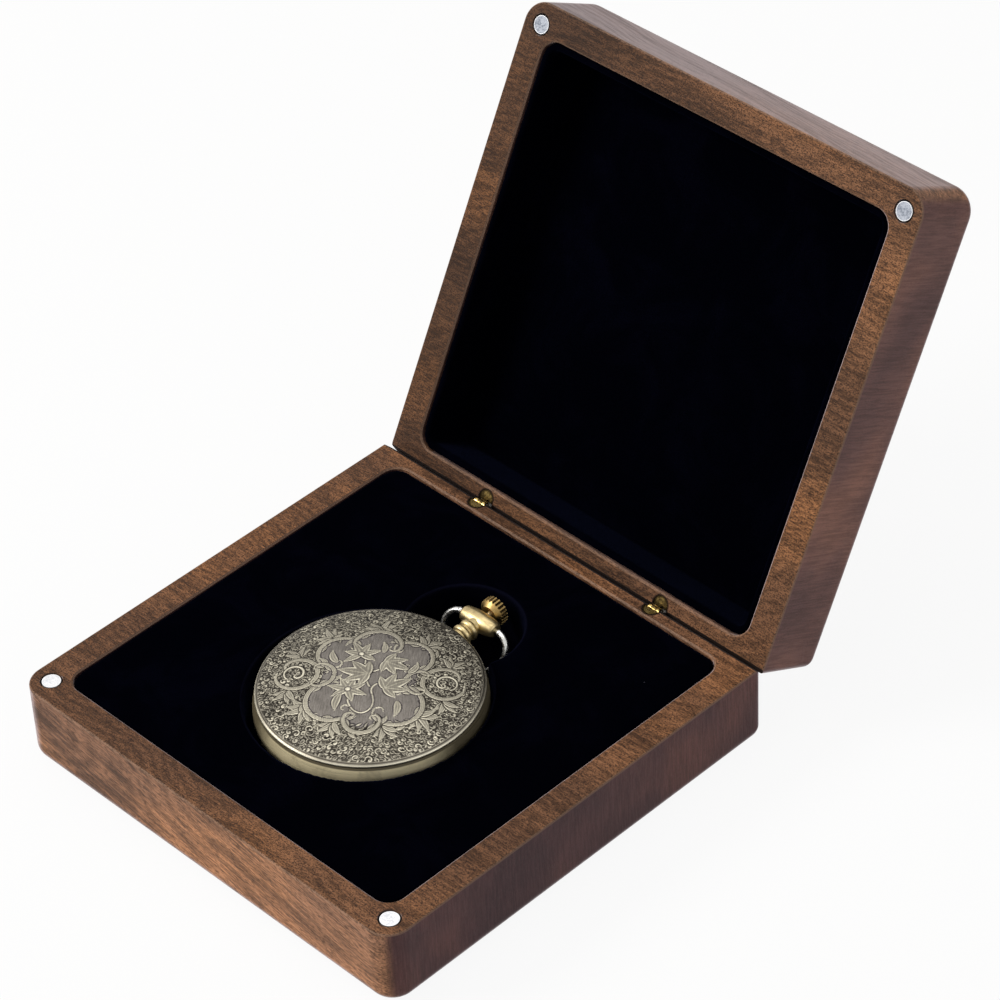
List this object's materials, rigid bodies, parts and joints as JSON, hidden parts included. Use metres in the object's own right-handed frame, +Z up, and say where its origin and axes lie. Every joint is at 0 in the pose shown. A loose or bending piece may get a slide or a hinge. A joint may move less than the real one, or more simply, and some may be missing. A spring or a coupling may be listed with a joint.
{
  "type": "pocket watch display box",
  "caption": "Square walnut presentation box with a magnetic hinged lid, a velvet-lined nest and an engraved hunter pocket watch lying in it.",
  "frame": {"origin": "centre of the flat underside of the base", "axes": "+Z up; +Y towards the hinges, -Y the front with the magnets; +X to the right seen from the front"},
  "size_m": [0.108, 0.1684, 0.1089],
  "materials": {
    "walnut": "satin",
    "velvet": "matte",
    "foam": "matte",
    "board": "matte",
    "magnet": "polished",
    "brass": "polished",
    "case_bronze": "satin",
    "steel": "satin",
    "crystal": "polished",
    "dial": "satin",
    "plastic": "matte",
    "hand": "satin",
    "bow_chrome": "polished"
  },
  "bodies": {
    "base": {"walnut_base": "walnut", "insert_foam": "foam", "insert_velvet": "velvet", "base_magnets": "magnet", "base_hinge_barrels": "brass", "hinge_pins": "brass", "watch_case": "case_bronze", "watch_back_cover": "case_bronze", "watch_front_cover": "case_bronze", "watch_cover_pin": "steel", "watch_bezel": "brass", "watch_crystal": "crystal", "watch_dial": "dial", "watch_movement": "steel", "watch_battery": "steel", "watch_spacer": "plastic", "watch_lift_spring": "steel", "watch_latch_spring": "steel", "watch_pendant": "brass"},
    "lid": {"walnut_lid": "walnut", "lid_tray": "board", "lid_velvet": "velvet", "lid_magnets": "magnet", "lid_hinge_barrels": "brass"},
    "setting_pinion": {"watch_setting_pinion": "steel"},
    "crown": {"watch_stem": "steel", "watch_crown": "brass"},
    "bow": {"watch_bow": "bow_chrome"},
    "hour_hand": {"watch_hour_hand": "hand"},
    "minute_hand": {"watch_minute_hand": "hand"},
    "second_hand": {"watch_second_hand": "hand"}
  },
  "joints": [
    {"name": "lid_hinge", "type": "hinge", "parent": "base", "child": "lid", "pos_m": [0, 0.05125, 0.0178], "axis": [1, 0, 0], "range_deg": [0, 117.7]},
    {"name": "crown_turn", "type": "hinge", "parent": "base", "child": "setting_pinion", "pos_m": [0.0014, -0.0065, 0.0168], "axis": [-0.0297, 0.9996, 0], "continuous": true},
    {"name": "crown_push_pull", "type": "slide", "parent": "setting_pinion", "child": "crown", "axis": [-0.0297, 0.9996, 0], "range_m": [-0.0004, 0.0005]},
    {"name": "bow_swing", "type": "hinge", "parent": "base", "child": "bow", "pos_m": [0.00046, 0.02524, 0.0168], "axis": [0.9996, 0.0297, 0], "range_deg": [-10, 65]},
    {"name": "minute_hand_turn", "type": "hinge", "parent": "base", "child": "minute_hand", "pos_m": [0.0014, -0.0065, 0.0203], "axis": [0, 0, -1], "continuous": true},
    {"name": "hour_hand_turn", "type": "hinge", "parent": "base", "child": "hour_hand", "pos_m": [0.0014, -0.0065, 0.0203], "axis": [0, 0, -1], "continuous": true},
    {"name": "second_hand_turn", "type": "hinge", "parent": "base", "child": "second_hand", "pos_m": [0.0014, -0.0065, 0.0203], "axis": [0, 0, -1], "continuous": true}
  ],
  "couplings": [
    {"joint": "hour_hand_turn", "follows": "minute_hand_turn", "ratio": 0.083333}
  ]
}
